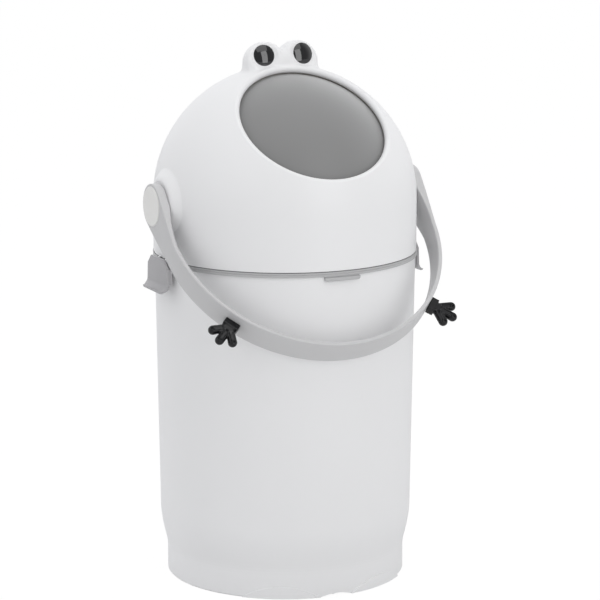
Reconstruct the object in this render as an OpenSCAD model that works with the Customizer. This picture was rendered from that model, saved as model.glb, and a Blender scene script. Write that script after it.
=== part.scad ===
// Nappy bin: a tall round bucket, a domed head with a swinging bail handle,
// and a closed drum inside the head that the handle turns.
// Front is -Y, up is +Z, and the origin is on the floor in the middle of the bucket.
// The drum takes a nappy at the mouth with the handle raised and drops it with the handle down.

/* [Bucket] */
// Height of the bucket's rim above the floor
bucket_h = 345.5; // [300:0.5:400]
// Outer radius of the bucket at its rim
bucket_top_r = 139; // [136:0.25:139]
// Outer radius of the bucket at the top of the foot curve
bucket_low_r = 134.8; // [132:0.2:137]
// Height at which the foot curve ends and the straight side begins
foot_curve_top = 75; // [60:1:100]
// Outer radius of the plinth that the bucket stands on
plinth_r = 127.5; // [120:0.5:130]
// Height of the plinth's upright side
plinth_h = 26; // [20:1:40]
// Wall thickness of the bucket
bucket_wall = 3; // [2.2:0.1:3.4]
// Height of the bucket's floor above the ground
floor_z = 12; // [8:0.5:20]
// Thickness of the floor
floor_t = 3; // [2:0.5:5]
// Number of stiffening ribs under the floor
rib_count = 12; // [6:1:16]
// Thickness of a stiffening rib
rib_t = 2.4; // [1.6:0.2:4]
// Radius of the round pad in the middle of the underside
base_pad_r = 30; // [15:1:50]
// Height of the arch between the two foot lobes at the front
arch_h = 3.2; // [2:0.2:6]
// Half the width of that arch, as an angle round the bucket
arch_angle = 8; // [4:0.5:14]

/* [Bag ring] */
// Height of the grey band that shows between bucket and head
band_h = 4.7; // [4:0.1:8]
// How far the band stands out from the bucket's rim
band_lip = 1.6; // [1:0.1:3]
// Depth of the skirt that holds the bag inside the rim
skirt_depth = 24; // [12:1:40]
// Thickness of the skirt
skirt_t = 2.6; // [2:0.1:3.2]
// Gap between skirt and bucket wall, for the bag
bag_gap = 0.6; // [0.4:0.1:1]
// Width of the finger tab at the front
tab_w = 40; // [20:1:60]
// Height of the finger tab
tab_h = 4.6; // [3:0.2:8]
// How far the finger tab stands out from the bucket
tab_reach = 3.6; // [2:0.2:8]
// Width of the catch lug under each latch
lug_w = 29; // [16:1:32]
// Depth of the catch lug below the band
lug_h = 19.5; // [12:0.5:22]

/* [Head] */
// How far the head stands out from the bucket's rim
head_over = 1; // [0.6:0.1:2]
// Wall thickness of the head
head_wall = 3; // [2.2:0.1:3.4]
// Height of the pivot, the dome's centre, above the band
pivot_rise = 56.8; // [52:0.1:70]
// Thickness of the seal between band and head
seam_seal_t = 0.9; // [0.4:0.1:1.5]
// Radius of the mouth, inside its rolled lip
mouth_r = 78.3; // [60:0.1:80]
// Elevation of the mouth's axis above the horizontal
mouth_angle = 51.5; // [40:0.5:60]
// Radius of the rolled lip round the mouth
lip_r = 4; // [3:0.25:4.2]
// Radius of the round boss at each end of the pivot
boss_r = 26.5; // [25:0.5:32]
// How far the boss stands out from the head
boss_rise = 3.4; // [2:0.1:5]
// Widening of the boss towards the head
boss_flare = 3; // [0:0.5:6]
// Number of posts that the drum collar is screwed to
post_count = 6; // [3:1:8]

/* [Eyes] */
// Radius of each eye bulge
eye_bulge_r = 22.3; // [20:0.1:24]
// Distance of each eye bulge from the middle
eye_x = 18.8; // [16:0.1:22]
// Height of the eye bulges' centres above the dome
eye_sink = 1.4; // [0:0.1:4]
// Distance of the eye bulges' centres behind the pivot
eye_back = 12.6; // [8:0.1:20]
// Spread of a bulge's foot where it meets the dome
eye_flare = 2; // [0:0.1:4]
// Distance of each lens from the middle
lens_x = 22.5; // [20:0.1:25]
// Distance of the lenses behind the pivot
lens_back = 3.4; // [2:0.1:5]
// Height of the lenses above the dome
lens_rise = 10.8; // [9:0.1:12]
// Upward tilt of the eyes
eye_tilt = 17.4; // [10:0.2:25]
// Outward turn of each eye
eye_splay = 6.4; // [0:0.1:10]
// Radius of the black eye lens
eye_r = 11.3; // [8:0.1:11.5]
// Rise of the lens's domed face
eye_dome = 2.4; // [1:0.1:5]

/* [Drum] */
// Distance of the drum's skin under the head's outside
drum_inset = 9.5; // [9:0.25:14]
// Wall thickness of the drum and its cup
drum_wall = 2.5; // [2:0.1:3.5]
// Outer radius of the cup that takes the nappy
cup_r = 81.8; // [64:0.2:83]
// Distance of the cup's round bottom centre in front of the pivot
cup_centre = 20; // [0:1:40]

/* [Pivot] */
// Radius of the trunnion shafts
shaft_r = 10; // [8:0.5:12]
// Thickness of the bush round each shaft
bush_t = 3; // [2:0.25:4]
// Radius of the trunnion's flange inside the drum
flange_r = 21; // [18:0.5:24]
// Thickness of that flange
flange_t = 3.5; // [2.5:0.25:5]
// Radius of the stop peg on each boss
peg_r = 2.4; // [1.6:0.1:2.6]
// Distance of the stop peg from the pivot
peg_orbit = 17.6; // [16:0.1:18]

/* [Handle] */
// Width of the handle's strip
strip_w = 28; // [20:0.5:34]
// Thickness of the handle's strip
strip_t = 4.5; // [3.5:0.25:6]
// Distance from the head's side to the middle of the strip
bow_clear = 10.4; // [9:0.2:16]
// Distance of the bow's centre from the pivot
bow_centre = 54.2; // [52:0.2:70]
// Resting angle of the handle, below the horizontal
rest_angle = -42.5; // [-42.5:0.5:-30]
// Swing of the handle from rest to raised
swing = 147; // [120:1:150]
// Radius of the hub ring
hub_r = 23.7; // [22:0.1:26]
// Distance of the hub's outer face from the head's side
hub_reach = 13.5; // [12.5:0.25:18]
// Radius of the white cap in the hub
cap_r = 21; // [18:0.25:22]
// Thickness of the cap
cap_t = 3.3; // [2.8:0.1:5]

/* [Hands] */
// Angle of each hand round the bow, from its middle
hand_angle = 47.7; // [30:0.5:65]
// Width of the hand's cuff
cuff_w = 17; // [12:0.5:22]
// Thickness of the cuff
cuff_t = 9; // [6:0.5:12]
// Length of the cuff
cuff_h = 8; // [5:0.5:12]
// Length of a hand from the strip to its middle fingertip
hand_len = 33; // [26:0.5:40]
// Sideways reach of the outer fingertips
finger_spread = 12; // [8:0.5:16]
// Distance of the outer fingertips behind the middle one
finger_drop = 6.5; // [3:0.5:10]
// Radius of a fingertip
finger_r = 4.9; // [3.8:0.1:5.5]
// Radius of a finger's root
root_r = 4.3; // [3.4:0.1:5]

/* [Latches] */
// Width of a latch at its top
latch_top_w = 33.4; // [28:0.2:40]
// Width of a latch at its finger lip
latch_low_w = 54; // [44:1:60]
// Height of a latch above its pin
latch_above = 3.7; // [2.5:0.1:3.8]
// Depth of a latch below its pin
latch_below = 31; // [28:0.5:36]
// Thickness of a latch
latch_t = 2.5; // [2:0.1:3.2]
// How far the finger lip flares out
lip_flare = 6.4; // [3:0.2:7]
// Radius of a latch pin
pin_r = 1; // [0.8:0.1:1.2]

/* [Fit] */
// Running clearance between parts that turn
run_gap = 0.05; // [0.02:0.01:0.08]
// Clearance between parts that sit side by side
gap = 0.3; // [0.2:0.05:0.4]
// Clearance of a part that is seated in another
seat_gap = 0.1; // [0.05:0.01:0.2]

/* [Hidden] */

$fn = 96;
far = 400;
touch = 0.01;

white = [0.93, 0.93, 0.94];
grey = [0.68, 0.68, 0.69];
drum_grey = [0.6, 0.61, 0.61];
black = [0.09, 0.09, 0.1];
rubber = [0.2, 0.2, 0.2];
steel = [0.75, 0.76, 0.78];
natural = [0.9, 0.9, 0.86];

band_r = bucket_top_r + band_lip;
head_r = bucket_top_r + head_over;
drum_r = head_r - drum_inset;
bow_r = head_r + bow_clear;
hub_face = head_r + hub_reach;
band_top = bucket_h + band_h;
head_bottom = band_top + seam_seal_t;
pivot_z = band_top + pivot_rise;
head_in_r = head_r - head_wall;
lip_orbit_r = head_r - lip_r;
lip_centre = mouth_r + lip_r;
// The dome is cut just inside the circle on which it touches the rolled lip
mouth_cut_r = lip_centre * head_r / lip_orbit_r - 0.5;

// Distance along the axis at which a sphere of radius r has the width w
function reach(r, w) = sqrt(r * r - w * w);

// Stands a shape on the pivot with its own z along the direction at an elevation
module aimed(elevation) {
    translate([0, 0, pivot_z]) rotate([90 - elevation, 0, 0]) children();
}

// Puts a shape on both sides, with its own z pointing away from the middle
module on_side(side) {
    translate([0, 0, pivot_z]) rotate([0, side * 90, 0]) children();
}

// A rectangle with round corners, centred
module round_rect(length, width, r) {
    square([length - 2 * r, width], center = true);
    square([length, width - 2 * r], center = true);
    for (i = [-1, 1], j = [-1, 1])
        translate([i * (length / 2 - r), j * (width / 2 - r)]) circle(r = r);
}

// A stretch of ring, half_angle each side of the direction, from z low to high
module ring_stretch(r_in, r_out, low, high, half_angle, direction) {
    translate([0, 0, low])
        rotate([0, 0, direction - half_angle])
            rotate_extrude(angle = 2 * half_angle)
                translate([r_in, 0]) square([r_out - r_in, high - low]);
}

// Bucket

foot_steps = 14;
foot_ease = 0.22;
plinth_chamfer = 1.2;
rim_chamfer = 1;
lobe_reach = 1.2;
lobe_h = 13;
lobe_span = 19;

// Distance along the foot curve, eased in over its first part
function eased(t) = (t < foot_ease ? t * t / (2 * foot_ease) : t - foot_ease / 2) / (1 - foot_ease / 2);

// The foot curve swells from the plinth to the straight side
foot_curve = [for (i = [0:foot_steps])
    let (t = i / foot_steps)
    [plinth_r + (bucket_low_r - plinth_r) * sin(90 * eased(t)),
     plinth_h + (foot_curve_top - plinth_h) * t]];

// Radius of a disc that is as wide as a lobe on the ground and as high as it in the middle
lobe_half = plinth_r * sin(lobe_span);
lobe_disc_r = (lobe_half * lobe_half + lobe_h * lobe_h) / (2 * lobe_h);

// A shallow crescent on the plinth, to one side of the front
module foot_lobe(side) {
    direction = side * (arch_angle + lobe_span) - 90;
    intersection() {
        ring_stretch(plinth_r - 1, plinth_r + lobe_reach, 0, lobe_h, lobe_span, direction);
        rotate([0, 0, direction])
            translate([0, 0, lobe_h - lobe_disc_r])
                rotate([0, 90, 0]) cylinder(r = lobe_disc_r, h = far);
    }
}

module bucket_body() {
    for (side = [-1, 1]) foot_lobe(side);
    rotate_extrude()
        polygon(concat(
            [[0, floor_z], [plinth_r - bucket_wall, floor_z], [plinth_r - bucket_wall, 0],
             [plinth_r - plinth_chamfer, 0], [plinth_r, plinth_chamfer]],
            foot_curve,
            [[bucket_top_r, bucket_h], [bucket_top_r - bucket_wall + rim_chamfer, bucket_h],
             [bucket_top_r - bucket_wall, bucket_h - rim_chamfer]],
            [for (i = [foot_steps:-1:0]) [foot_curve[i][0] - bucket_wall, foot_curve[i][1]]],
            [[plinth_r - bucket_wall, floor_z + floor_t], [0, floor_z + floor_t]]));
    cylinder(r = base_pad_r, h = floor_z + touch);
    for (i = [0:rib_count - 1])
        rotate([0, 0, i * 360 / rib_count])
            translate([base_pad_r - 1, -rib_t / 2, 0])
                cube([plinth_r - bucket_wall / 2 - base_pad_r + 1, rib_t, floor_z + touch]);
}

arch_half = plinth_r * sin(arch_angle);
arch_disc_r = (arch_half * arch_half + arch_h * arch_h) / (2 * arch_h);

module bucket() {
    color(white)
        difference() {
            bucket_body();
            // The arch between the lobes
            translate([0, -plinth_r, arch_h - arch_disc_r])
                rotate([90, 0, 0]) cylinder(r = arch_disc_r, h = 5 * bucket_wall, center = true);
        }
}

// Bag ring

skirt_r = bucket_top_r - bucket_wall - bag_gap;
skirt_taper = 2;
collar_lip = 1.5;
groove_deep = 0.5;
groove_low = 2.2;
groove_high = 3.2;
lug_in = bucket_top_r + 0.5;
lug_out = bucket_top_r + 3;
lug_top = bucket_h + 0.5;
lug_bottom = bucket_h - lug_h;
tab_span = 15;

module bag_ring() {
    color(grey) {
        rotate_extrude()
            polygon([[skirt_r - skirt_t - collar_lip, band_top],
                     [skirt_r - skirt_t - collar_lip, bucket_h + collar_lip],
                     [skirt_r - skirt_t, bucket_h], [skirt_r - skirt_t, bucket_h - skirt_depth],
                     [skirt_r - skirt_taper / 2, bucket_h - skirt_depth],
                     [skirt_r, bucket_h - skirt_depth + 2 * skirt_taper],
                     [skirt_r, bucket_h], [band_r, bucket_h], [band_r, bucket_h + groove_low],
                     [band_r - groove_deep, bucket_h + groove_low + groove_deep],
                     [band_r - groove_deep, bucket_h + groove_high - groove_deep],
                     [band_r, bucket_h + groove_high], [band_r, band_top]]);
        // Finger tab at the front, with its ends rounded and a groove under the band
        intersection() {
            difference() {
                ring_stretch(lug_in, bucket_top_r + tab_reach, bucket_h - tab_h, bucket_h + 1,
                             tab_span, -90);
                ring_stretch(band_r - groove_deep, head_r + tab_reach, bucket_h - 2 * groove_deep, far,
                             tab_span + 1, -90);
            }
            translate([0, -head_r, bucket_h - tab_h + far / 2])
                rotate([90, 0, 0])
                    linear_extrude(height = tab_w, center = true)
                        round_rect(tab_w, far, tab_h / 2);
        }
        for (side = [0, 180])
            ring_stretch(lug_in, lug_out, lug_bottom, lug_top, asin(lug_w / 2 / lug_out), side);
    }
}

module seam_seal() {
    color(rubber)
        translate([0, 0, band_top])
            rotate_extrude()
                translate([head_in_r + 0.3, 0]) square([head_wall - 0.8, seam_seal_t]);
}

// Eyes, which are part of the head

eye_rise = head_r + eye_sink;
eye_wall = 3;
eye_foot = 15;
seat_rim = 0.9;
socket_depth = 2.6;
pan_t = 2;
pan_r = eye_r + 0.6;
pan_sink = 0.5;
lens_gap = 0.15;

// The seat of one lens: z out of the eye, the origin in the flat of the seat
module lens_frame(side) {
    translate([side * lens_x, lens_back, pivot_z + head_r + lens_rise])
        rotate([0, 0, side * eye_splay])
            rotate([90 - eye_tilt, 0, 0]) children();
}

// Two domes on flared feet, cut flat where the lenses sit, all inset by the same amount
module eye_bulges(inset) {
    r = eye_bulge_r - inset;
    difference() {
        for (side = [-1, 1])
            translate([side * eye_x, eye_back, pivot_z + eye_rise])
                rotate_extrude()
                    intersection() {
                        union() {
                            circle(r = r);
                            polygon([[0, 0], [r - touch, 0], [r + eye_flare, -eye_foot], [0, -eye_foot]]);
                        }
                        translate([0, -far / 2]) square([far, far]);
                    }
        for (side = [-1, 1])
            lens_frame(side)
                translate([0, 0, far / 2 - inset]) cube([far, far, far], center = true);
    }
}

module lens(side) {
    ball_r = (eye_r * eye_r + eye_dome * eye_dome) / (2 * eye_dome);
    lens_frame(side) {
        intersection() {
            translate([0, 0, eye_dome - ball_r]) sphere(r = ball_r);
            cylinder(r = eye_r, h = eye_dome + 1);
        }
        translate([0, 0, gap / 3 - socket_depth]) cylinder(r = eye_r, h = socket_depth - gap / 3 + touch);
    }
}

module eye_left() { color(black) lens(-1); }
module eye_right() { color(black) lens(1); }

// Head

boss_face = head_r + boss_rise;
boss_in = head_r - 8;
bush_r = shaft_r + run_gap + bush_t;
bush_flange_t = 1;
bush_flange_w = 3;
press_gap = 0.02;
boss_wall = 4;
peg_len = 3;
collar_drop = 47.5;
collar_top = pivot_z - collar_drop;
post_r = 4;
post_orbit = head_in_r - 3;
post_h = 12;
post_turn = 180 / post_count;
screw_r = 1.4;

// Latch positions that the head, the ring and the latches share
pin_x = lug_out + 1.2;
pin_z = head_bottom - 2.3;
ear_r = 1.7;
ear_y = 9.4;
ear_w = 3;

// One of the two ears that hold a latch pin, on the +X side
module ear() {
    rotate([90, 0, 0])
        linear_extrude(height = ear_w, center = true)
            difference() {
                union() {
                    translate([pin_x, pin_z]) circle(r = ear_r);
                    polygon([[pin_x, pin_z + ear_r], [head_r - 1.5, pin_z + ear_r + 2.8],
                             [head_r - 1.5, head_bottom], [band_r + gap, head_bottom],
                             [pin_x - ear_r, pin_z]]);
                }
                translate([pin_x, pin_z]) circle(r = pin_r);
            }
}

// The head without its eye sockets
module head_body() {
    difference() {
        union() {
            intersection() {
                translate([0, 0, pivot_z]) sphere(r = head_r);
                translate([0, 0, pivot_z + far / 2]) cube([far, far, far], center = true);
            }
            translate([0, 0, head_bottom]) cylinder(r = head_r, h = pivot_z - head_bottom);
            eye_bulges(0);
            for (side = [-1, 1])
                on_side(side) {
                    translate([0, 0, boss_in])
                        cylinder(r1 = boss_r + boss_flare, r2 = boss_r, h = boss_face - boss_in);
                    translate([0, peg_orbit, 0]) cylinder(r = peg_r, h = boss_face + peg_len);
                }
        }
        translate([0, 0, pivot_z]) sphere(r = head_in_r);
        translate([0, 0, head_bottom - 1]) cylinder(r = head_in_r, h = pivot_z - head_bottom + 1);
        eye_bulges(eye_wall);
        aimed(mouth_angle) cylinder(r = mouth_cut_r, h = far);
        for (side = [-1, 1])
            on_side(side) cylinder(r = bush_r, h = far);
    }
    // A round pan behind each lens, which closes the eye's front
    for (side = [-1, 1])
        lens_frame(side)
            translate([0, 0, -socket_depth - pan_t]) cylinder(r = pan_r, h = socket_depth + pan_t - pan_sink);
    // The rolled lip of the mouth
    aimed(mouth_angle)
        rotate_extrude()
            translate([lip_centre, reach(lip_orbit_r, lip_centre)]) circle(r = lip_r);
    // The inner ends of the bosses, which hold the bushes
    for (side = [-1, 1])
        on_side(side)
            difference() {
                translate([0, 0, boss_in]) cylinder(r = bush_r + boss_wall, h = boss_face - boss_in);
                cylinder(r = bush_r, h = far);
            }
    // Posts for the drum collar
    for (i = [0:post_count - 1])
        rotate([0, 0, post_turn + i * 360 / post_count])
            translate([post_orbit, 0, collar_top])
                difference() {
                    cylinder(r = post_r, h = post_h);
                    cylinder(r = screw_r, h = post_h - 2);
                }
    for (side = [0, 180], j = [-1, 1])
        rotate([0, 0, side]) translate([0, j * ear_y, 0]) ear();
}

module head_shell() {
    color(white)
        difference() {
            head_body();
            for (side = [-1, 1])
                lens_frame(side)
                    translate([0, 0, -socket_depth]) cylinder(r = eye_r + lens_gap, h = far / 10);
        }
}

// Seals and collar in the head

seal_gap = 0.4;
seal_tongue_t = 0.9;
seal_tongue_in = mouth_r + 1.4;
seal_step = lip_centre + lip_r + 0.7;
seal_out = seal_step + 4;

// A ring whose tongue runs under the rolled lip and closes the gap to the drum
module mouth_seal() {
    under = drum_r + seal_gap;
    tongue = under + seal_tongue_t;
    over = head_in_r - seat_gap;
    color(rubber)
        aimed(mouth_angle)
            rotate_extrude()
                polygon([[seal_tongue_in, reach(under, seal_tongue_in)],
                         [lip_centre, reach(under, lip_centre)], [seal_step, reach(under, seal_step)],
                         [seal_out, reach(under, seal_out)], [seal_out, reach(over, seal_out)],
                         [seal_step, reach(over, seal_step)], [seal_step, reach(tongue, seal_step)],
                         [lip_centre, reach(tongue, lip_centre)],
                         [seal_tongue_in, reach(tongue, seal_tongue_in)]]);
}

collar_t = 3.5;
collar_bore = drum_r - 6;
chute_t = 2.5;
chute_h = 26;

module drum_collar() {
    color(drum_grey)
        difference() {
            translate([0, 0, collar_top - collar_t])
                union() {
                    difference() {
                        cylinder(r = head_in_r - seat_gap, h = collar_t);
                        translate([0, 0, -1]) cylinder(r = collar_bore, h = collar_t + 2);
                    }
                    translate([0, 0, -chute_h])
                        difference() {
                            cylinder(r = collar_bore + chute_t, h = chute_h + 1);
                            translate([0, 0, -1]) cylinder(r = collar_bore, h = chute_h + 3);
                        }
                }
            for (i = [0:post_count - 1])
                rotate([0, 0, post_turn + i * 360 / post_count])
                    translate([post_orbit, 0, collar_top - collar_t - 1])
                        cylinder(r = screw_r + gap, h = collar_t + 2);
        }
}

lip_lean = 0.6;
lip_step = 1.6;

module lower_seal() {
    low = collar_top - collar_t;
    drum_here = reach(drum_r, pivot_z - collar_top);
    color(rubber)
        rotate_extrude()
            polygon([[collar_bore - seat_gap, low], [collar_bore - seat_gap, collar_top],
                     [drum_here + seal_gap, collar_top],
                     [drum_here + seal_gap - lip_lean, collar_top - lip_step]]);
}

collar_screw_head = 3;
collar_screw_head_h = 1.8;
screw_gap = 0.05;

module collar_screws() {
    color(steel)
        for (i = [0:post_count - 1])
            rotate([0, 0, post_turn + i * 360 / post_count])
                translate([post_orbit, 0, collar_top - collar_t]) {
                    translate([0, 0, -collar_screw_head_h])
                        cylinder(r = collar_screw_head, h = collar_screw_head_h);
                    cylinder(r = screw_r - screw_gap, h = collar_t + post_h - 3);
                }
}

module bush(side) {
    color(natural)
        on_side(side)
            difference() {
                union() {
                    translate([0, 0, boss_in - bush_flange_t])
                        cylinder(r = bush_r + bush_flange_w, h = bush_flange_t);
                    translate([0, 0, boss_in - touch])
                        cylinder(r = bush_r - press_gap, h = boss_face - boss_in - seat_gap);
                }
                cylinder(r = shaft_r + run_gap, h = far);
            }
}

module bush_left() { bush(-1); }
module bush_right() { bush(1); }

// Drum, which turns with the handle

drum_in_r = drum_r - drum_wall;
cup_angle = mouth_angle - swing;
// The cup's rim stands a little inside the drum's skin
cup_rim = reach(drum_r, cup_r) - 0.68;
cup_gap = 0.2;
pad_face = drum_r - 7.5;
pad_r = flange_r + 1;

screws_per_flange = 4;
flange_screw_orbit = flange_r - 5;
flange_screw_reach = 3.5;
flange_screw_head = 2.6;
flange_screw_head_h = 1.6;

// Half of the drum's wall cut along the pivot axis, with a flat pad inside each end
module drum_profile() {
    difference() {
        circle(r = drum_r);
        intersection() {
            circle(r = drum_in_r);
            union() {
                square([2 * drum_in_r, 2 * pad_face], center = true);
                translate([pad_r, -far / 2]) square([far, far]);
            }
        }
        translate([-far, -far / 2]) square([far + shaft_r + press_gap, far]);
    }
}

module drum_shell() {
    color(drum_grey)
        difference() {
            on_side(1) rotate_extrude() drum_profile();
            aimed(cup_angle) cylinder(r = cup_r + cup_gap, h = far);
            for (side = [-1, 1])
                on_side(side)
                    for (i = [0:screws_per_flange - 1])
                        rotate([0, 0, 45 + i * 90])
                            translate([flange_screw_orbit, 0, pad_face - 1])
                                cylinder(r = screw_r, h = flange_screw_reach + 1.5);
        }
}

module cup_form(r, rim) {
    translate([0, 0, cup_centre]) cylinder(r = r, h = rim - cup_centre);
    translate([0, 0, cup_centre]) sphere(r = r);
}

module drum_cup() {
    color(drum_grey)
        aimed(cup_angle)
            difference() {
                cup_form(cup_r, cup_rim);
                cup_form(cup_r - drum_wall, cup_rim + 10);
            }
}

// Trunnions

hub_rim = 2.5;
web_t = 2.6;
web_out = hub_face - hub_rim;
shaft_end = web_out - web_t;
flat_start = boss_face + seat_gap;
shaft_bore = 12;
flat_half = 7.6;
hub_screw_r = 2.4;

module trunnion(side) {
    color(steel)
        on_side(side)
            difference() {
                union() {
                    translate([0, 0, pad_face - flange_t]) cylinder(r = flange_r, h = flange_t);
                    translate([0, 0, pad_face - 1]) cylinder(r = shaft_r, h = flat_start - pad_face + 1);
                    intersection() {
                        translate([0, 0, flat_start - 1]) cylinder(r = shaft_r, h = shaft_end - flat_start + 1);
                        translate([0, 0, flat_start])
                            cube([far, 2 * flat_half, 2 * (shaft_end - flat_start)], center = true);
                    }
                }
                translate([0, 0, shaft_end - shaft_bore]) cylinder(r = hub_screw_r, h = 2 * shaft_bore);
                for (i = [0:screws_per_flange - 1])
                    rotate([0, 0, 45 + i * 90])
                        translate([flange_screw_orbit, 0, pad_face - flange_t - 1])
                            cylinder(r = screw_r + seat_gap, h = flange_t + 2);
            }
}

module trunnion_left() { trunnion(-1); }
module trunnion_right() { trunnion(1); }

module trunnion_screws() {
    color(steel)
        for (side = [-1, 1])
            on_side(side)
                for (i = [0:screws_per_flange - 1])
                    rotate([0, 0, 45 + i * 90])
                        translate([flange_screw_orbit, 0, pad_face - flange_t]) {
                            translate([0, 0, -flange_screw_head_h])
                                cylinder(r = flange_screw_head, h = flange_screw_head_h);
                            cylinder(r = screw_r - screw_gap, h = flange_t + flange_screw_reach);
                        }
}

// Handle

stop_play = 0.4;
hub_in = boss_face + stop_play;
groove_depth = peg_len - hub_in + boss_face + stop_play;
hole_gap = 0.2;
hub_taper_start = 24;
hub_taper_end = 62;

// Angle at which the tangent from a point w aside and l along touches the hub
hub_tangent = atan2(hub_taper_end, strip_w / 2) - acos(hub_r / norm([strip_w / 2, hub_taper_end]));

// The space within a bow of radius r whose legs end at the hubs, hub_x from the middle
module bow_region(r, hub_x) {
    translate([0, bow_centre]) circle(r = r);
    polygon([[-hub_x, -2 * hub_r], [hub_x, -2 * hub_r], [hub_x, hub_taper_start],
             [r, bow_centre], [-r, bow_centre], [-hub_x, hub_taper_start]]);
}

// The bow seen square to the strip's width: x across, y away from the pivot
module bow_outline() {
    difference() {
        bow_region(bow_r + strip_t / 2, hub_face);
        bow_region(bow_r - strip_t / 2, hub_in);
    }
}

// The same seen along the pivot: x along the strip's width
module bow_side() {
    circle(r = hub_r);
    polygon([[hub_r * cos(hub_tangent), hub_r * sin(hub_tangent)], [strip_w / 2, hub_taper_end],
             [strip_w / 2, far], [-strip_w / 2, far], [-strip_w / 2, hub_taper_end],
             [-hub_r * cos(hub_tangent), hub_r * sin(hub_tangent)]]);
}

tongue_w = 10;
tongue_t = 4;

module handle_bow() {
    color(grey)
        difference() {
            intersection() {
                aimed(rest_angle)
                    rotate([90, 0, 0]) linear_extrude(height = 3 * hub_r, center = true) bow_outline();
                aimed(rest_angle)
                    rotate([90, 0, 90]) linear_extrude(height = far, center = true) bow_side();
            }
            for (side = [-1, 1])
                on_side(side) {
                    // Bore for the trunnion's flatted end, and the screw hole
                    intersection() {
                        translate([0, 0, hub_in - 1])
                            cylinder(r = shaft_r + run_gap, h = shaft_end - hub_in + 1 + gap);
                        cube([far, 2 * (flat_half + run_gap), far], center = true);
                    }
                    cylinder(r = hub_screw_r + hole_gap, h = far);
                    // Seat for the cap
                    translate([0, 0, web_out]) cylinder(r = cap_r + lens_gap, h = far);
                }
            for (side = [-1, 1]) stop_groove(side);
            for (side = [-1, 1])
                on_bow(side)
                    translate([0, 0, bow_r])
                        cube([tongue_w + hole_gap, tongue_t + hole_gap, 4 * strip_t], center = true);
        }
}

// The groove that a stop peg runs in, with the peg at its back end while the handle rests
module stop_groove(side) {
    margin = asin((peg_r + stop_play) / peg_orbit);
    on_side(side)
        rotate([0, 0, (side > 0 ? 90 : 90 - swing) - margin])
            rotate_extrude(angle = swing + 2 * margin)
                translate([peg_orbit - peg_r - gap, hub_in - 1])
                    square([2 * (peg_r + gap), groove_depth + 1]);
}

// Stands a shape on the bow with its own z pointing outward, x along the bow
module on_bow(side) {
    aimed(rest_angle)
        translate([0, 0, bow_centre]) rotate([0, side * hand_angle, 0]) children();
}

cap_edge = 0.8;
cap_wall = 3;
cap_skin = 1.2;

// A flat cup whose open side faces the screw
module hub_cap(side) {
    color(white)
        on_side(side)
            translate([0, 0, web_out + seat_gap])
                difference() {
                    union() {
                        cylinder(r = cap_r, h = cap_t - cap_edge);
                        translate([0, 0, cap_t - cap_edge - touch])
                            cylinder(r1 = cap_r, r2 = cap_r - cap_edge, h = cap_edge);
                    }
                    translate([0, 0, -1]) cylinder(r = cap_r - cap_wall, h = cap_t - cap_skin + 1);
                }
}

module hub_cap_left() { hub_cap(-1); }
module hub_cap_right() { hub_cap(1); }

hub_screw_head = 4.5;
hub_screw_head_h = 1.9;

module hub_screws() {
    color(steel)
        for (side = [-1, 1])
            on_side(side) {
                translate([0, 0, web_out]) cylinder(r = hub_screw_head, h = hub_screw_head_h);
                translate([0, 0, shaft_end - shaft_bore + 1])
                    cylinder(r = hub_screw_r - screw_gap, h = web_out - shaft_end + shaft_bore - 0.5);
            }
}

// Hands

palm_r = 6.2;
palm_rise = 11;
root_share = 0.3;
hand_t = 7.6;

module hand(side) {
    foot = bow_r + strip_t / 2 + run_gap;
    palm = foot + palm_rise;
    tip = foot + hand_len - finger_r;
    tips = [[-finger_spread, tip - finger_drop], [0, tip], [finger_spread, tip - finger_drop]];
    color(black)
        on_bow(side) {
            translate([-cuff_w / 2, -cuff_t / 2, foot]) cube([cuff_w, cuff_t, cuff_h]);
            translate([-tongue_w / 2, -tongue_t / 2, foot - strip_t]) cube([tongue_w, tongue_t, strip_t + 1]);
            // Fingers and palm are full rounds, cut flat front and back
            intersection() {
                union() {
                    for (p = tips)
                        hull() {
                            translate([p[0], 0, p[1]]) sphere(r = finger_r, $fn = 28);
                            translate([p[0] * root_share, 0, palm]) sphere(r = root_r, $fn = 28);
                        }
                    hull() {
                        translate([0, 0, palm - 1]) sphere(r = palm_r, $fn = 28);
                        translate([0, 0, foot + cuff_h - 1]) sphere(r = palm_r, $fn = 28);
                    }
                }
                translate([-far / 2, -hand_t / 2, foot + cuff_h / 2]) cube([far, hand_t, far]);
            }
        }
}

module hand_left() { hand(-1); }
module hand_right() { hand(1); }

// Latches

plate_in = pin_x + 2;
nose_in = lug_out + gap;
nose_h = 4;
latch_top = pin_z + latch_above;
latch_bottom = pin_z - latch_below;
shoulder_h = 9;
corner_z = latch_top - shoulder_h;
side_lean = 1.5;
low_corner_x = 5;
low_corner_z = 4;
wall_inset = 3.2;
wall_t = 2;
barrel_r = 2.1;
barrel_len = 2 * (ear_y - ear_w / 2) - 0.6;
flare_start = 9;
skirt_in = bucket_top_r + 2.2;

// The latch's outline seen from its side of the bin
module latch_outline() {
    polygon([[-latch_top_w / 2, latch_top], [latch_top_w / 2, latch_top],
             [latch_low_w / 2 - side_lean, corner_z],
             [latch_low_w / 2, latch_bottom + low_corner_z],
             [latch_low_w / 2 - low_corner_x, latch_bottom],
             [low_corner_x - latch_low_w / 2, latch_bottom],
             [-latch_low_w / 2, latch_bottom + low_corner_z],
             [side_lean - latch_low_w / 2, corner_z]]);
}

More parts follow.
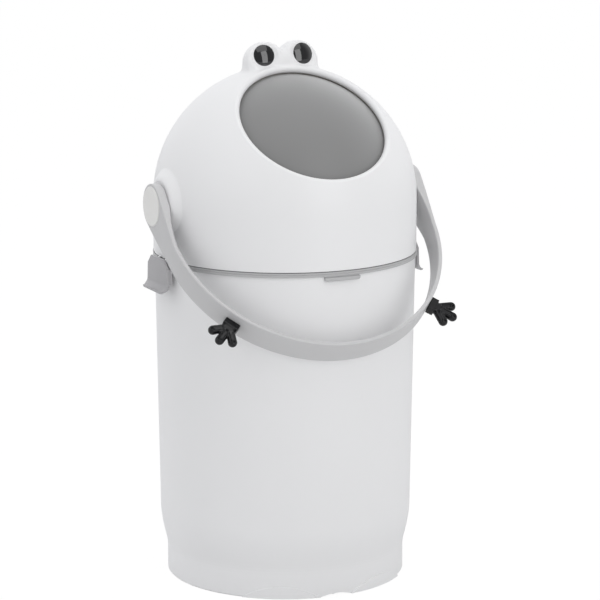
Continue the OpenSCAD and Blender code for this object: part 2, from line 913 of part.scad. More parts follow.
// The latch cut through its middle: x out from the bin
module latch_section() {
    bend_z = latch_bottom + flare_start;
    translate([plate_in, bend_z]) square([latch_t, latch_top - bend_z]);
    // The finger lip sweeps out in an arc
    lip_curve = (flare_start * flare_start + lip_flare * lip_flare) / (2 * lip_flare);
    intersection() {
        translate([plate_in + latch_t + lip_curve - latch_t, bend_z])
            difference() {
                circle(r = lip_curve);
                circle(r = lip_curve - latch_t);
            }
        translate([plate_in - 1, latch_bottom]) square([lip_flare + latch_t + 1, flare_start]);
    }
}

module latch(side) {
    color(grey)
        rotate([0, 0, side > 0 ? 0 : 180])
            difference() {
                union() {
                    intersection() {
                        rotate([90, 0, 0]) linear_extrude(height = far, center = true) latch_section();
                        rotate([90, 0, 90]) linear_extrude(height = far) latch_outline();
                    }
                    // Barrel round the pin
                    translate([pin_x, 0, pin_z])
                        rotate([90, 0, 0]) cylinder(r = barrel_r, h = barrel_len, center = true);
                    translate([pin_x, -barrel_len / 2, pin_z - barrel_r])
                        cube([plate_in - pin_x + 0.5, barrel_len, 2 * barrel_r]);
                    // Nose that grips the lug's face
                    translate([nose_in, -lug_w / 2 + 2, lug_bottom])
                        cube([plate_in - nose_in + 0.5, lug_w - 4, nose_h]);
                    // Side walls
                    for (j = [-1, 1])
                        translate([skirt_in, j * (latch_low_w / 2 - wall_inset) - wall_t / 2,
                                   latch_bottom + flare_start])
                            cube([plate_in - skirt_in + 0.5, wall_t,
                                  corner_z - latch_bottom - flare_start - 1]);
                }
                translate([pin_x, 0, pin_z])
                    rotate([90, 0, 0]) cylinder(r = pin_r + run_gap, h = barrel_len + 2, center = true);
            }
}

module latch_left() { latch(-1); }
module latch_right() { latch(1); }

module latch_pins() {
    color(steel)
        for (side = [-1, 1])
            translate([side * pin_x, 0, pin_z])
                rotate([90, 0, 0]) cylinder(r = pin_r - 0.005, h = 2 * ear_y + ear_w, center = true);
}

bucket();
bag_ring();
seam_seal();
head_shell();
eye_left();
eye_right();
mouth_seal();
drum_collar();
lower_seal();
collar_screws();
bush_left();
bush_right();
drum_shell();
drum_cup();
trunnion_left();
trunnion_right();
trunnion_screws();
handle_bow();
hub_cap_left();
hub_cap_right();
hub_screws();
hand_left();
hand_right();
latch_left();
latch_right();
latch_pins();
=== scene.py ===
import math

import bmesh
import bpy
from mathutils import Matrix, Vector


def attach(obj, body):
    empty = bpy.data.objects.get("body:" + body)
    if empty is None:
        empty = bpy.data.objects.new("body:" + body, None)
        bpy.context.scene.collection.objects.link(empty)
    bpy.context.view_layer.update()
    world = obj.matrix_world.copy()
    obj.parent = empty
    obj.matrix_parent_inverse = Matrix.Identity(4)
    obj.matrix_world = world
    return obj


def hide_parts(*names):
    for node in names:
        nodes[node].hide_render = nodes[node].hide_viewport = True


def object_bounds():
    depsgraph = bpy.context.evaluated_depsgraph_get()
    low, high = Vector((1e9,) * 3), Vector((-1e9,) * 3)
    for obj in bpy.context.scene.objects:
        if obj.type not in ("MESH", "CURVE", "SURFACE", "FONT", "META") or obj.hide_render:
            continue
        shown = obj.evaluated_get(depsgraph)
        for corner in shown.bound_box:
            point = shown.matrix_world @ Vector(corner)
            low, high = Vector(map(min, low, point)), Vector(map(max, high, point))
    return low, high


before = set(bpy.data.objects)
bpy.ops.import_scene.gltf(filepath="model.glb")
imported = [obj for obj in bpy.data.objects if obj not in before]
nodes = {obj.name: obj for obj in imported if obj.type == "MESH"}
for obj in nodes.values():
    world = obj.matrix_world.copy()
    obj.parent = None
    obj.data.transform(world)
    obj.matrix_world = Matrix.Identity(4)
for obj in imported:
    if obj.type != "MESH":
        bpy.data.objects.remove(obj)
cad_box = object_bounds()
scene = bpy.context.scene


# ---------------------------------------------------------------------------
# Camera. The photograph looks down a little at the bin's left front, from far
# enough away that its upright sides stay nearly parallel.

VIEW_AZIMUTH = math.radians(-25.0)
VIEW_ELEVATION = math.radians(11.9)
VIEW_DISTANCE = 3.2
VIEW_TARGET = Vector((0.0, 0.0, 0.280))
VIEW_RIGHT = 0.01607
VIEW_UP = 0.0137
LENS_MM = 179.16
SENSOR_MM = 36.0
FARTHEST = 40.0

camera_data = bpy.data.cameras.new("photo_camera")
camera_data.lens = LENS_MM
camera_data.sensor_width = SENSOR_MM
camera_data.clip_end = FARTHEST
camera = bpy.data.objects.new("photo_camera", camera_data)
scene.collection.objects.link(camera)
outward = Vector((math.sin(VIEW_AZIMUTH) * math.cos(VIEW_ELEVATION),
                  -math.cos(VIEW_AZIMUTH) * math.cos(VIEW_ELEVATION),
                  math.sin(VIEW_ELEVATION)))
right = Vector((math.cos(VIEW_AZIMUTH), math.sin(VIEW_AZIMUTH), 0.0))
upward = outward.cross(right)
camera.location = VIEW_TARGET + outward * VIEW_DISTANCE
aim = VIEW_TARGET + right * VIEW_RIGHT + upward * VIEW_UP
camera.rotation_euler = (camera.location - aim).to_track_quat("Z", "Y").to_euler()
scene.camera = camera
scene.view_settings.view_transform = "Standard"


# ---------------------------------------------------------------------------
# Floor. A wide sheet of pale studio paper, far larger than the bin. It shows as
# white to the camera and keeps the soft shadow round the foot.

FLOOR_RADIUS = 14.0
FLOOR_SIDES = 96
FLOOR_COLOUR = (0.80, 0.80, 0.80, 1.0)
FLOOR_GLOW = 1.03
FLOOR_GLOW_SHARE = 0.93

paper = bmesh.new()
bmesh.ops.create_circle(paper, cap_ends=True, segments=FLOOR_SIDES, radius=FLOOR_RADIUS)
floor_mesh = bpy.data.meshes.new("floor")
paper.to_mesh(floor_mesh)
paper.free()
floor = bpy.data.objects.new("floor", floor_mesh)
scene.collection.objects.link(floor)

floor_paper = bpy.data.materials.new("floor_paper")
floor_paper.use_nodes = True
tree = floor_paper.node_tree
tree.nodes.clear()
dull = tree.nodes.new("ShaderNodeBsdfDiffuse")
dull.inputs["Color"].default_value = FLOOR_COLOUR
glow = tree.nodes.new("ShaderNodeEmission")
glow.inputs["Strength"].default_value = FLOOR_GLOW
path = tree.nodes.new("ShaderNodeLightPath")
share = tree.nodes.new("ShaderNodeMath")
share.operation = "MULTIPLY"
share.inputs[1].default_value = FLOOR_GLOW_SHARE
both = tree.nodes.new("ShaderNodeMixShader")
out = tree.nodes.new("ShaderNodeOutputMaterial")
tree.links.new(path.outputs["Is Camera Ray"], share.inputs[0])
tree.links.new(share.outputs[0], both.inputs["Fac"])
tree.links.new(dull.outputs[0], both.inputs[1])
tree.links.new(glow.outputs[0], both.inputs[2])
tree.links.new(both.outputs[0], out.inputs["Surface"])
floor_mesh.materials.append(floor_paper)


# ---------------------------------------------------------------------------
# Light. A white room whose camera side is darker, a tall window-like lamp in
# front and a softer one above. The room is plain white to the camera.

ROOM_LEVEL = 0.98
FRONT_LEVEL = 0.28
BACKDROP_LEVEL = 1.0
ROOM_TINT = (0.98, 0.985, 1.0, 1.0)
PLAIN_WHITE = (1.0, 1.0, 1.0, 1.0)
CAMERA_SIDE = (0.15, -0.93, 0.33)
FADE_START = 0.25
FADE_END = 0.8
LAMP_AIM = Vector((0.0, 0.0, 0.4))
LAMPS = (("window_lamp", (0.42, -1.99, 1.20), (0.98, 1.95), 13.6),
         ("top_lamp", (0.10, -0.80, 2.40), (1.70, 1.70), 9.0))

sky = bpy.data.worlds.new("studio_room")
scene.world = sky
sky.use_nodes = True
tree = sky.node_tree
tree.nodes.clear()
towards = tree.nodes.new("ShaderNodeTexCoord")
facing = tree.nodes.new("ShaderNodeVectorMath")
facing.operation = "DOT_PRODUCT"
facing.inputs[1].default_value = CAMERA_SIDE
tree.links.new(towards.outputs["Generated"], facing.inputs[0])
path = tree.nodes.new("ShaderNodeLightPath")
room = []
for level in (ROOM_LEVEL, BACKDROP_LEVEL):
    dim = tree.nodes.new("ShaderNodeMapRange")
    dim.interpolation_type = "SMOOTHSTEP"
    dim.inputs["From Min"].default_value = FADE_START
    dim.inputs["From Max"].default_value = FADE_END
    dim.inputs["To Min"].default_value = level
    dim.inputs["To Max"].default_value = FRONT_LEVEL
    wall = tree.nodes.new("ShaderNodeBackground")
    wall.inputs["Color"].default_value = ROOM_TINT
    tree.links.new(facing.outputs["Value"], dim.inputs["Value"])
    tree.links.new(dim.outputs["Result"], wall.inputs["Strength"])
    room.append(wall)
blank = tree.nodes.new("ShaderNodeBackground")
blank.inputs["Color"].default_value = PLAIN_WHITE
mirrored = tree.nodes.new("ShaderNodeMath")
mirrored.operation = "MAXIMUM"
tree.links.new(path.outputs["Is Glossy Ray"], mirrored.inputs[0])
tree.links.new(path.outputs["Is Transmission Ray"], mirrored.inputs[1])
indirect = tree.nodes.new("ShaderNodeMixShader")
tree.links.new(mirrored.outputs[0], indirect.inputs["Fac"])
tree.links.new(room[0].outputs[0], indirect.inputs[1])
tree.links.new(room[1].outputs[0], indirect.inputs[2])
both = tree.nodes.new("ShaderNodeMixShader")
out = tree.nodes.new("ShaderNodeOutputWorld")
tree.links.new(path.outputs["Is Camera Ray"], both.inputs["Fac"])
tree.links.new(indirect.outputs[0], both.inputs[1])
tree.links.new(blank.outputs[0], both.inputs[2])
tree.links.new(both.outputs[0], out.inputs["Surface"])

for name, place, size, power in LAMPS:
    lamp_data = bpy.data.lights.new(name, "AREA")
    lamp_data.shape = "RECTANGLE"
    lamp_data.size = size[0]
    lamp_data.size_y = size[1]
    lamp_data.energy = power
    lamp = bpy.data.objects.new(name, lamp_data)
    scene.collection.objects.link(lamp)
    lamp.location = place
    lamp.rotation_euler = (lamp.location - LAMP_AIM).to_track_quat("Z", "Y").to_euler()


# ---------------------------------------------------------------------------
# Bucket. Injection-moulded white polypropylene with a rounded foot on a short
# plinth. Its fine mould grain and faint flow mottle are the same on every
# plastic piece, so the node group that makes them is built here.

SHELL_WHITE = (0.875, 0.875, 0.88)
FLOW_SCALE = 9.0
FLOW_DETAIL = 3.0
GRAIN_DETAIL = 2.0
GRAIN_DEPTH = 0.0002


def moulded_plastic_group():
    group = bpy.data.node_groups.new("moulded_plastic", "ShaderNodeTree")
    face = group.interface
    for label, kind, value in (("Colour", "NodeSocketColor", (0.8, 0.8, 0.8, 1.0)),
                               ("Mottle", "NodeSocketFloat", 0.03),
                               ("Roughness", "NodeSocketFloat", 0.4),
                               ("Spread", "NodeSocketFloat", 0.05),
                               ("Grain Scale", "NodeSocketFloat", 900.0)):
        socket = face.new_socket(name=label, in_out="INPUT", socket_type=kind)
        socket.default_value = value
    for label, kind in (("Colour", "NodeSocketColor"), ("Roughness", "NodeSocketFloat"),
                        ("Height", "NodeSocketFloat")):
        face.new_socket(name=label, in_out="OUTPUT", socket_type=kind)
    make, link = group.nodes.new, group.links.new
    enter = make("NodeGroupInput")
    leave = make("NodeGroupOutput")
    coords = make("ShaderNodeTexCoord")
    cloud = make("ShaderNodeTexNoise")
    cloud.inputs["Scale"].default_value = FLOW_SCALE
    cloud.inputs["Detail"].default_value = FLOW_DETAIL
    link(coords.outputs["Object"], cloud.inputs["Vector"])
    grain = make("ShaderNodeTexNoise")
    grain.inputs["Detail"].default_value = GRAIN_DETAIL
    link(coords.outputs["Object"], grain.inputs["Vector"])
    link(enter.outputs["Grain Scale"], grain.inputs["Scale"])
    shift = make("ShaderNodeMath")
    shift.operation = "SUBTRACT"
    shift.inputs[1].default_value = 0.5
    link(cloud.outputs["Fac"], shift.inputs[0])
    amount = make("ShaderNodeMath")
    amount.operation = "MULTIPLY_ADD"
    amount.inputs[2].default_value = 1.0
    link(shift.outputs[0], amount.inputs[0])
    link(enter.outputs["Mottle"], amount.inputs[1])
    tint = make("ShaderNodeVectorMath")
    tint.operation = "SCALE"
    link(enter.outputs["Colour"], tint.inputs[0])
    link(amount.outputs[0], tint.inputs["Scale"])
    link(tint.outputs[0], leave.inputs["Colour"])
    uneven = make("ShaderNodeMath")
    uneven.operation = "MULTIPLY_ADD"
    link(shift.outputs[0], uneven.inputs[0])
    link(enter.outputs["Spread"], uneven.inputs[1])
    link(enter.outputs["Roughness"], uneven.inputs[2])
    link(uneven.outputs[0], leave.inputs["Roughness"])
    link(grain.outputs["Fac"], leave.inputs["Height"])
    return group


moulded = moulded_plastic_group()


def plastic(name, colour, mottle, roughness, spread, grain, relief, specular=0.5):
    look = bpy.data.materials.new(name)
    look.use_nodes = True
    tree = look.node_tree
    shader = tree.nodes["Principled BSDF"]
    surface = tree.nodes.new("ShaderNodeGroup")
    surface.node_tree = moulded
    surface.inputs["Colour"].default_value = (*colour, 1.0)
    surface.inputs["Mottle"].default_value = mottle
    surface.inputs["Roughness"].default_value = roughness
    surface.inputs["Spread"].default_value = spread
    surface.inputs["Grain Scale"].default_value = grain
    bump = tree.nodes.new("ShaderNodeBump")
    bump.inputs["Strength"].default_value = relief
    bump.inputs["Distance"].default_value = GRAIN_DEPTH
    tree.links.new(surface.outputs["Colour"], shader.inputs["Base Color"])
    tree.links.new(surface.outputs["Roughness"], shader.inputs["Roughness"])
    tree.links.new(surface.outputs["Height"], bump.inputs["Height"])
    tree.links.new(bump.outputs["Normal"], shader.inputs["Normal"])
    shader.inputs["Specular IOR Level"].default_value = specular
    return look


def paint_node(name, look):
    mesh = nodes[name].data
    mesh.materials.clear()
    mesh.materials.append(look)


white_shell = plastic("white_shell", SHELL_WHITE, mottle=0.02, roughness=0.42, spread=0.06,
                      grain=900.0, relief=0.2)
paint_node("bucket", white_shell)


# ---------------------------------------------------------------------------
# Bag ring. A grey moulded ring that holds the rim of the bag and drops into
# the bucket. Its finger tab at the front has edges rounded by the mould.

RING_GREY = (0.49, 0.49, 0.495)
TAB_ROUND = 0.0005
TAB_BACK = 0.1393
TAB_FRONT = TAB_BACK * 0.985
TAB_HALF = 0.0202
TAB_TOP = 0.3466
MERGE_DIST = 0.000002
FLAT_ANGLE = math.radians(0.6)
SHARP_ANGLE = math.radians(30.0)
ROUND_SEGMENTS = 3


def link_piece(name, shape, look):
    mesh = bpy.data.meshes.new(name)
    shape.to_mesh(mesh)
    shape.free()
    mesh.materials.append(look)
    piece = bpy.data.objects.new(name, mesh)
    scene.collection.objects.link(piece)
    return piece


def rounded_copy(name, body, look, width, picks):
    """Stands a copy of a CAD node in its place, with the edges that picks names rounded."""
    shape = bmesh.new()
    shape.from_mesh(nodes[name].data)
    bmesh.ops.remove_doubles(shape, verts=shape.verts, dist=MERGE_DIST)
    bmesh.ops.dissolve_limit(shape, angle_limit=FLAT_ANGLE, verts=shape.verts,
                             edges=shape.edges)
    bmesh.ops.recalc_face_normals(shape, faces=shape.faces)
    edges = [edge for edge in shape.edges if len(edge.link_faces) == 2
             and edge.calc_face_angle() > SHARP_ANGLE and picks(edge)]
    bmesh.ops.bevel(shape, geom=edges, offset=width, offset_type="OFFSET",
                    segments=ROUND_SEGMENTS, profile=0.5, affect="EDGES", material=-1,
                    clamp_overlap=True)
    bmesh.ops.triangulate(shape, faces=shape.faces)
    for face in shape.faces:
        face.smooth = True
    for edge in shape.edges:
        if len(edge.link_faces) == 2:
            edge.smooth = edge.calc_face_angle() < SHARP_ANGLE
    piece = link_piece(name + "_rounded", shape, look)
    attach(piece, body)
    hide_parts(name)


def on_finger_tab(edge):
    return all(vert.co.y < -TAB_FRONT and abs(vert.co.x) < TAB_HALF
               and vert.co.z < TAB_TOP and vert.co.xy.length > TAB_BACK for vert in edge.verts)


ring_grey = plastic("ring_grey", RING_GREY, mottle=0.03, roughness=0.36, spread=0.06,
                    grain=900.0, relief=0.2)
rounded_copy("bag_ring", "ring_body", ring_grey, TAB_ROUND, on_finger_tab)


# ---------------------------------------------------------------------------
# Seam seal. A thin band of grey thermoplastic rubber between bag ring and head,
# stretched over the ring's upper edge.

SEAL_GREY = (0.17, 0.17, 0.17)

soft_seal = plastic("soft_seal", SEAL_GREY, mottle=0.1, roughness=0.65, spread=0.1,
                    grain=500.0, relief=0.3)
paint_node("seam_seal", soft_seal)


# ---------------------------------------------------------------------------
# Head shell. A white moulded dome with the rolled lip of the mouth. The eye bulges
# and the bosses of the pivot grow out of it in soft curves: these fillets lie over
# the crisp corners of the CAD shell.

PIVOT_Z = 0.407
DOME_CENTRE = Vector((0.0, 0.0, PIVOT_Z))
DOME_R = 0.140
DOME_SINK = 0.00012
BULGE_R = 0.0223
BULGE_PLACE = (0.0188, 0.0126, 0.5484)
BULGE_PROUD = 0.00012
SEAT_PLACE = (0.0225, 0.0034, 0.5578)
SEAT_TILT = math.radians(90.0 - 17.4)
SEAT_SPLAY = math.radians(6.4)
SEAT_R = 0.0116
SEAT_SINK = 0.002
SEAT_EDGE = 0.0007
BROW_R = 0.0175
BROW_PROUD = 0.0019
BROW_SWELL = 0.0010
SWELL_FULL = 0.001
SWELL_GONE = 0.007
MOUTH_ANGLE = math.radians(51.5)
MOUTH_OUT = Vector((0.0, -math.cos(MOUTH_ANGLE), math.sin(MOUTH_ANGLE)))
MOUTH_CUT = 0.0842
LIP_RING = 0.0823
LIP_RISE = 0.10827
LIP_R = 0.004
LIP_TRIM = 0.0815
BLEND_LIP = 0.0025
BLEND_FOOT = 0.0080
BLEND_GROWS = 0.016
BLEND_PAIR = 0.0060
BLEND_BROW = 0.0050
SKIN_CORE = Vector((0.0, 0.012, 0.530))
SKIN_FINENESS = 7
SKIN_HORIZON = -0.05
SKIN_FAR = 0.085
SKIN_NEAR = 0.004
SKIN_STEP = 0.0015
SKIN_HALVINGS = 12
SKIN_REACH = 0.052
SKIN_EVEN = 0.25
SKIN_T = 0.0008
EYES_TOP = cad_box[1][2]


def ease(low, high, value):
    share = min(max((value - low) / (high - low), 0.0), 1.0)
    return share * share * (3.0 - 2.0 * share)


def soft_least(a, b, blend):
    near = max(blend - abs(a - b), 0.0) / blend
    return min(a, b) - near * near * blend / 4.0


def seat_frame(side):
    return (Matrix.Translation((side * SEAT_PLACE[0], SEAT_PLACE[1], SEAT_PLACE[2]))
            @ Matrix.Rotation(side * SEAT_SPLAY, 4, "Z") @ Matrix.Rotation(SEAT_TILT, 4, "X"))


SEATS = [(Vector((side * BULGE_PLACE[0], BULGE_PLACE[1], BULGE_PLACE[2])),
          seat_frame(side).inverted()) for side in (-1, 1)]


def outside_bulge(point, centre, to_seat):
    local = to_seat @ point
    aside = math.hypot(local.x, local.y)
    swell = BULGE_PROUD + BROW_SWELL * (1.0 - ease(SWELL_FULL, SWELL_GONE, abs(local.z)))
    ball = (point - centre).length - BULGE_R - swell
    under_lens = SEAT_SINK * (1.0 - ease(SEAT_R - SEAT_EDGE, SEAT_R, aside))
    brow = BROW_PROUD * ease(SEAT_R, BROW_R, aside)
    flat = local.z - BULGE_PROUD - brow + under_lens
    return -soft_least(-ball, -flat, BLEND_BROW)


def from_mouth_axis(point):
    rise = point - DOME_CENTRE
    along = rise.dot(MOUTH_OUT)
    return math.sqrt(max(rise.length_squared - along * along, 0.0)), along


def outside_skin(point):
    left, right = (outside_bulge(point, *seat) for seat in SEATS)
    aside, along = from_mouth_axis(point)
    dome = max((point - DOME_CENTRE).length - DOME_R, MOUTH_CUT - aside)
    lip = math.hypot(aside - LIP_RING, along - LIP_RISE) - LIP_R
    share = ease(MOUTH_CUT, MOUTH_CUT + BLEND_GROWS, aside)
    blend = BLEND_LIP + (BLEND_FOOT - BLEND_LIP) * share
    return soft_least(min(dome, lip) + DOME_SINK, soft_least(left, right, BLEND_PAIR), blend)


def skin_point(ray):
    reach = SKIN_FAR
    while reach > SKIN_NEAR and outside_skin(SKIN_CORE + ray * reach) > 0.0:
        reach -= SKIN_STEP
    low, high = reach, reach + SKIN_STEP
    for _ in range(SKIN_HALVINGS):
        middle = (low + high) / 2
        if outside_skin(SKIN_CORE + ray * middle) > 0.0:
            high = middle
        else:
            low = middle
    return SKIN_CORE + ray * low


skin = bmesh.new()
bmesh.ops.create_icosphere(skin, subdivisions=SKIN_FINENESS, radius=1.0)
bmesh.ops.bisect_plane(skin, geom=skin.verts[:] + skin.edges[:] + skin.faces[:], dist=0.00001,
                       plane_co=(0.0, 0.0, SKIN_HORIZON), plane_no=(0.0, 0.0, -1.0),
                       clear_outer=True)
for vert in skin.verts:
    vert.co = skin_point(vert.co.normalized())
    vert.co.z = min(vert.co.z, EYES_TOP)
away = [vert for vert in skin.verts if (vert.co - SKIN_CORE).xy.length > SKIN_REACH
        or from_mouth_axis(vert.co)[0] < LIP_TRIM]
bmesh.ops.delete(skin, geom=away, context="VERTS")
bmesh.ops.smooth_vert(skin, verts=[vert for vert in skin.verts if not vert.is_boundary],
                      factor=SKIN_EVEN, use_axis_x=True, use_axis_y=True, use_axis_z=True)
bmesh.ops.recalc_face_normals(skin, faces=skin.faces)
if sum(face.normal.z for face in skin.faces) < 0:
    bmesh.ops.reverse_faces(skin, faces=skin.faces)
for face in skin.faces:
    face.smooth = True
eye_mound = link_piece("eye_mound", skin, white_shell)
wall = eye_mound.modifiers.new("skin_wall", "SOLIDIFY")
wall.thickness = SKIN_T
wall.offset = -1.0
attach(eye_mound, "head_body")

BOSS_FACE = 0.14342
BOSS_TOP_R = 0.0263
BOSS_FOOT_R = 0.0420
BOSS_FOOT = 0.1334
BOSS_STEPS = 14
BOSS_INSET = 0.0012
BOSS_BACK = 0.001
BOSS_SIDES = 96

for side, name in ((-1, "boss_blend_left"), (1, "boss_blend_right")):
    turned = bmesh.new()
    ring = [turned.verts.new((side * BOSS_FACE, 0.0, PIVOT_Z + BOSS_TOP_R - BOSS_INSET))]
    for step in range(BOSS_STEPS + 1):
        out_r = BOSS_TOP_R + (BOSS_FOOT_R - BOSS_TOP_R) * step / BOSS_STEPS
        drop = (BOSS_FACE - BOSS_FOOT) * ease(BOSS_TOP_R, BOSS_FOOT_R, out_r)
        ring.append(turned.verts.new((side * (BOSS_FACE - drop), 0.0, PIVOT_Z + out_r)))
    ring.append(turned.verts.new((side * (BOSS_FOOT - BOSS_BACK), 0.0, PIVOT_Z + BOSS_TOP_R)))
    ring.append(turned.verts.new((side * (BOSS_FACE - BOSS_BACK), 0.0,
                                  PIVOT_Z + BOSS_TOP_R - BOSS_INSET)))
    lines = [turned.edges.new(pair) for pair in zip(ring, ring[1:] + ring[:1])]
    bmesh.ops.spin(turned, geom=ring + lines, cent=(0.0, 0.0, PIVOT_Z), axis=(1.0, 0.0, 0.0),
                   angle=math.radians(360.0), steps=BOSS_SIDES, use_merge=True)
    bmesh.ops.remove_doubles(turned, verts=turned.verts, dist=MERGE_DIST)
    bmesh.ops.recalc_face_normals(turned, faces=turned.faces)
    for face in turned.faces:
        face.smooth = True
    piece = link_piece(name, turned, white_shell)
    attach(piece, "head_body")
paint_node("head_shell", white_shell)


# ---------------------------------------------------------------------------
# Eyes. Two domed lenses of glossy black plastic, pressed into the seats in the
# bulges.

LENS_BLACK = (0.006, 0.006, 0.007)

lens_gloss = plastic("lens_gloss", LENS_BLACK, mottle=0.1, roughness=0.05, spread=0.01,
                     grain=300.0, relief=0.0, specular=1.0)
for name in ("eye_left", "eye_right"):
    paint_node(name, lens_gloss)


# ---------------------------------------------------------------------------
# Wiping seals. Soft rubber rings that wipe the drum: one under the lip of the
# mouth, one on the collar below.

WIPER_BROWN = (0.42, 0.39, 0.36)

wiper_rubber = plastic("wiper_rubber", WIPER_BROWN, mottle=0.1, roughness=0.6, spread=0.1,
                       grain=500.0, relief=0.3)
for name in ("mouth_seal", "lower_seal"):
    paint_node(name, wiper_rubber)


# ---------------------------------------------------------------------------
# Drum collar. A grey moulded plate with a chute, which closes the head below the
# drum. Six zinc-plated screws hold it to posts in the head.

DRUM_GREY = (0.246, 0.246, 0.245)
DRUM_SHEEN = 0.9
DRUM_SHEEN_ROUGH = 0.45
ZINC = (0.6, 0.6, 0.62)

grey_drum = plastic("grey_drum", DRUM_GREY, mottle=0.03, roughness=0.38, spread=0.05,
                    grain=700.0, relief=0.1, specular=0.15)
satin = grey_drum.node_tree.nodes["Principled BSDF"]
satin.inputs["Sheen Weight"].default_value = DRUM_SHEEN
satin.inputs["Sheen Roughness"].default_value = DRUM_SHEEN_ROUGH
zinc_steel = plastic("zinc_steel", ZINC, mottle=0.08, roughness=0.32, spread=0.1,
                     grain=600.0, relief=0.1)
zinc_steel.node_tree.nodes["Principled BSDF"].inputs["Metallic"].default_value = 1.0
paint_node("drum_collar", grey_drum)
paint_node("collar_screws", zinc_steel)


# ---------------------------------------------------------------------------
# Bushes. Plain bearings of natural acetal, moulded with a flange and pressed into
# the bosses of the head from inside.

ACETAL = (0.72, 0.70, 0.62)

natural_acetal = plastic("natural_acetal", ACETAL, mottle=0.03, roughness=0.45, spread=0.05,
                         grain=600.0, relief=0.1)
for name in ("bush_left", "bush_right"):
    paint_node(name, natural_acetal)


# ---------------------------------------------------------------------------
# Drum. A grey moulded ball with a cup welded in. Steel shafts with flanges are
# screwed to its sides and carry it in the bushes.

for name in ("drum_shell", "drum_cup"):
    paint_node(name, grey_drum)
for name in ("trunnion_left", "trunnion_right", "trunnion_screws"):
    paint_node(name, zinc_steel)


# ---------------------------------------------------------------------------
# Handle bow. One grey moulding, a flat band bent round the bin with a hub ring at
# each end. Its long edges and the rims of its hubs are rounded by the mould.

PIVOT = DOME_CENTRE
REST_ANGLE = math.radians(-42.5)
HANDLE_OUT = Vector((0.0, -math.cos(REST_ANGLE), math.sin(REST_ANGLE)))
HANDLE_UP = Vector((0.0, math.sin(REST_ANGLE), math.cos(REST_ANGLE)))
HUB_R = 0.0237
HUB_RIM = 0.0012
STRIP_HALF = 0.0140
STRIP_RIM = 0.0005
RIM_LEAN = 0.02
BOW_ROUND = 0.0012
TRIM_GREY = (0.59, 0.588, 0.592)


def is_rim(face):
    if abs(face.normal.x) > RIM_LEAN:
        return False
    middle = face.calc_center_median() - PIVOT
    along, across = middle.dot(HANDLE_OUT), middle.dot(HANDLE_UP)
    if along < HUB_R:
        return math.hypot(along, across) > HUB_R - HUB_RIM
    return abs(across) > STRIP_HALF - STRIP_RIM


def on_bow_rim(edge):
    return is_rim(edge.link_faces[0]) != is_rim(edge.link_faces[1])


grey_trim = plastic("grey_trim", TRIM_GREY, mottle=0.03, roughness=0.36, spread=0.06,
                    grain=900.0, relief=0.2)
rounded_copy("handle_bow", "handle_body", grey_trim, BOW_ROUND, on_bow_rim)


# ---------------------------------------------------------------------------
# Hub caps. White moulded caps with a slight chamfer, pressed into the hubs over the
# zinc-plated screws that hold the handle on its shafts.

CAP_WHITE = (0.83, 0.825, 0.805)

white_cap = plastic("white_cap", CAP_WHITE, mottle=0.02, roughness=0.4, spread=0.05,
                    grain=900.0, relief=0.2)
for name in ("hub_cap_left", "hub_cap_right"):
    paint_node(name, white_cap)
paint_node("hub_screws", zinc_steel)


# ---------------------------------------------------------------------------
# Hands. Soft black rubber mouldings on a cuff. Each finger has a raised border
# round a hollow, with a dimple at its tip.

BOW_CENTRE = 0.0542
BOW_R = 0.1504
HAND_ANGLE = math.radians(47.7)
HAND_FOOT = BOW_R + 0.00225 + 0.00005
PALM_RISE = 0.011
HAND_LEN = 0.033
FINGER_R = 0.0049
FINGER_SPREAD = 0.012
FINGER_DROP = 0.0065
ROOT_SHARE = 0.3
HOLLOW_R = 0.0031
HOLLOW_DEPTH = 0.0017
DIMPLE_R = 0.0021
DIMPLE_DEPTH = 0.0012
HAND_VOXEL = 0.00055
HAND_EDGE = 0.0018
HAND_EVEN = 0.5
HOLLOW_EVEN = 0.3
RUBBER_BLACK = (0.004, 0.004, 0.005)

black_rubber = plastic("black_rubber", RUBBER_BLACK, mottle=0.1, roughness=0.22, spread=0.05,
                       grain=400.0, relief=0.03, specular=0.4)


def hand_frame(side):
    lean = Matrix.Rotation(math.radians(90.0) - REST_ANGLE, 4, "X")
    return (Matrix.Translation(PIVOT) @ lean @ Matrix.Translation((0.0, 0.0, BOW_CENTRE))
            @ Matrix.Rotation(side * HAND_ANGLE, 4, "Y"))


def along_finger(local, root, tip):
    line = (tip[0] - root[0], tip[1] - root[1])
    length = math.hypot(*line)
    share = ((local.x - root[0]) * line[0] + (local.z - root[1]) * line[1]) / length ** 2
    held = min(max(share, 0.0), 1.0)
    return (held, math.hypot(local.x - root[0] - held * line[0],
                             local.z - root[1] - held * line[1]))


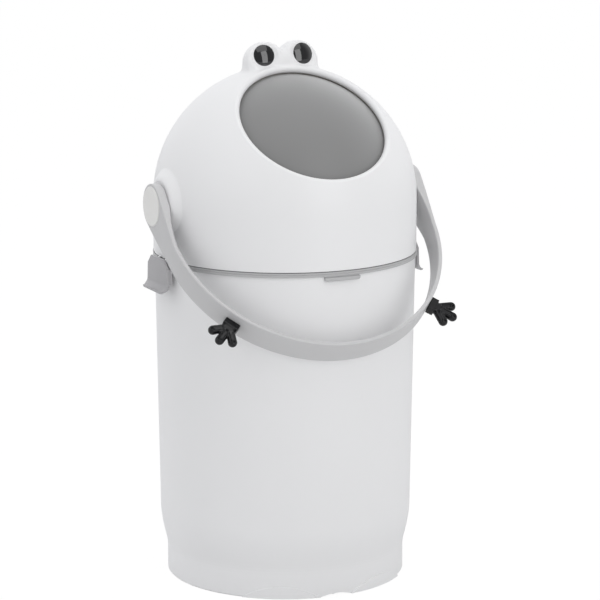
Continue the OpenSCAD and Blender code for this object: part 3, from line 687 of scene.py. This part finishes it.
def hollow_fingers(shape, to_hand):
    palm = HAND_FOOT + PALM_RISE
    tip = HAND_FOOT + HAND_LEN - FINGER_R
    fingers = [((x * ROOT_SHARE, palm + 0.001), (x, z))
               for x, z in ((-FINGER_SPREAD, tip - FINGER_DROP), (0.0, tip),
                            (FINGER_SPREAD, tip - FINGER_DROP))]
    from_hand = to_hand.inverted()
    for vert in shape.verts:
        local = to_hand @ vert.co
        if abs(local.y) < HAND_EDGE:
            continue
        deep = 0.0
        for root, end in fingers:
            held, aside = along_finger(local, root, end)
            groove = HOLLOW_DEPTH * (1.0 - ease(HOLLOW_R * 0.45, HOLLOW_R, aside))
            to_tip = math.hypot(local.x - end[0], local.z - end[1])
            dimple = DIMPLE_DEPTH * (1.0 - ease(DIMPLE_R * 0.3, DIMPLE_R, to_tip))
            deep = max(deep, groove * ease(0.0, 0.25, held) + dimple)
        local.y -= math.copysign(deep, local.y)
        vert.co = from_hand @ local


def even_out(shape, factor):
    bmesh.ops.smooth_vert(shape, verts=shape.verts, factor=factor, use_axis_x=True,
                          use_axis_y=True, use_axis_z=True)


for side, name in ((-1, "hand_left"), (1, "hand_right")):
    whole = bmesh.new()
    whole.from_mesh(nodes[name].data)
    bmesh.ops.remove_doubles(whole, verts=whole.verts, dist=MERGE_DIST)
    bmesh.ops.recalc_face_normals(whole, faces=whole.faces)
    rough = bpy.data.meshes.new(name + "_rough")
    whole.to_mesh(rough)
    whole.free()
    blank_hand = bpy.data.objects.new(name + "_blank", rough)
    scene.collection.objects.link(blank_hand)
    even = blank_hand.modifiers.new("even", "REMESH")
    even.mode = "VOXEL"
    even.voxel_size = HAND_VOXEL
    fine = bmesh.new()
    fine.from_object(blank_hand, bpy.context.evaluated_depsgraph_get())
    bpy.data.objects.remove(blank_hand)
    even_out(fine, HAND_EVEN)
    even_out(fine, HAND_EVEN)
    hollow_fingers(fine, hand_frame(side).inverted())
    even_out(fine, HOLLOW_EVEN)
    for face in fine.faces:
        face.smooth = True
    piece = link_piece(name + "_moulded", fine, black_rubber)
    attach(piece, "handle_body")
    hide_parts(name)


# ---------------------------------------------------------------------------
# Latches. Grey moulded snap plates with a swept finger lip and rounded edges, each
# hinged on a steel pin through two ears of the head.

LATCH_ROUND = 0.0007
PLATE_IN = 0.1452
PLATE_MARGIN = 0.0002
LATCH_GREY = (0.415, 0.41, 0.42)


def on_plate_edge(edge):
    return all(abs(vert.co.x) > PLATE_IN + PLATE_MARGIN for vert in edge.verts)


latch_grey = plastic("latch_grey", LATCH_GREY, mottle=0.04, roughness=0.34, spread=0.06,
                     grain=900.0, relief=0.2)
for side in ("left", "right"):
    rounded_copy("latch_" + side, "latch_" + side + "_body", latch_grey,
                 LATCH_ROUND, on_plate_edge)
paint_node("latch_pins", zinc_steel)
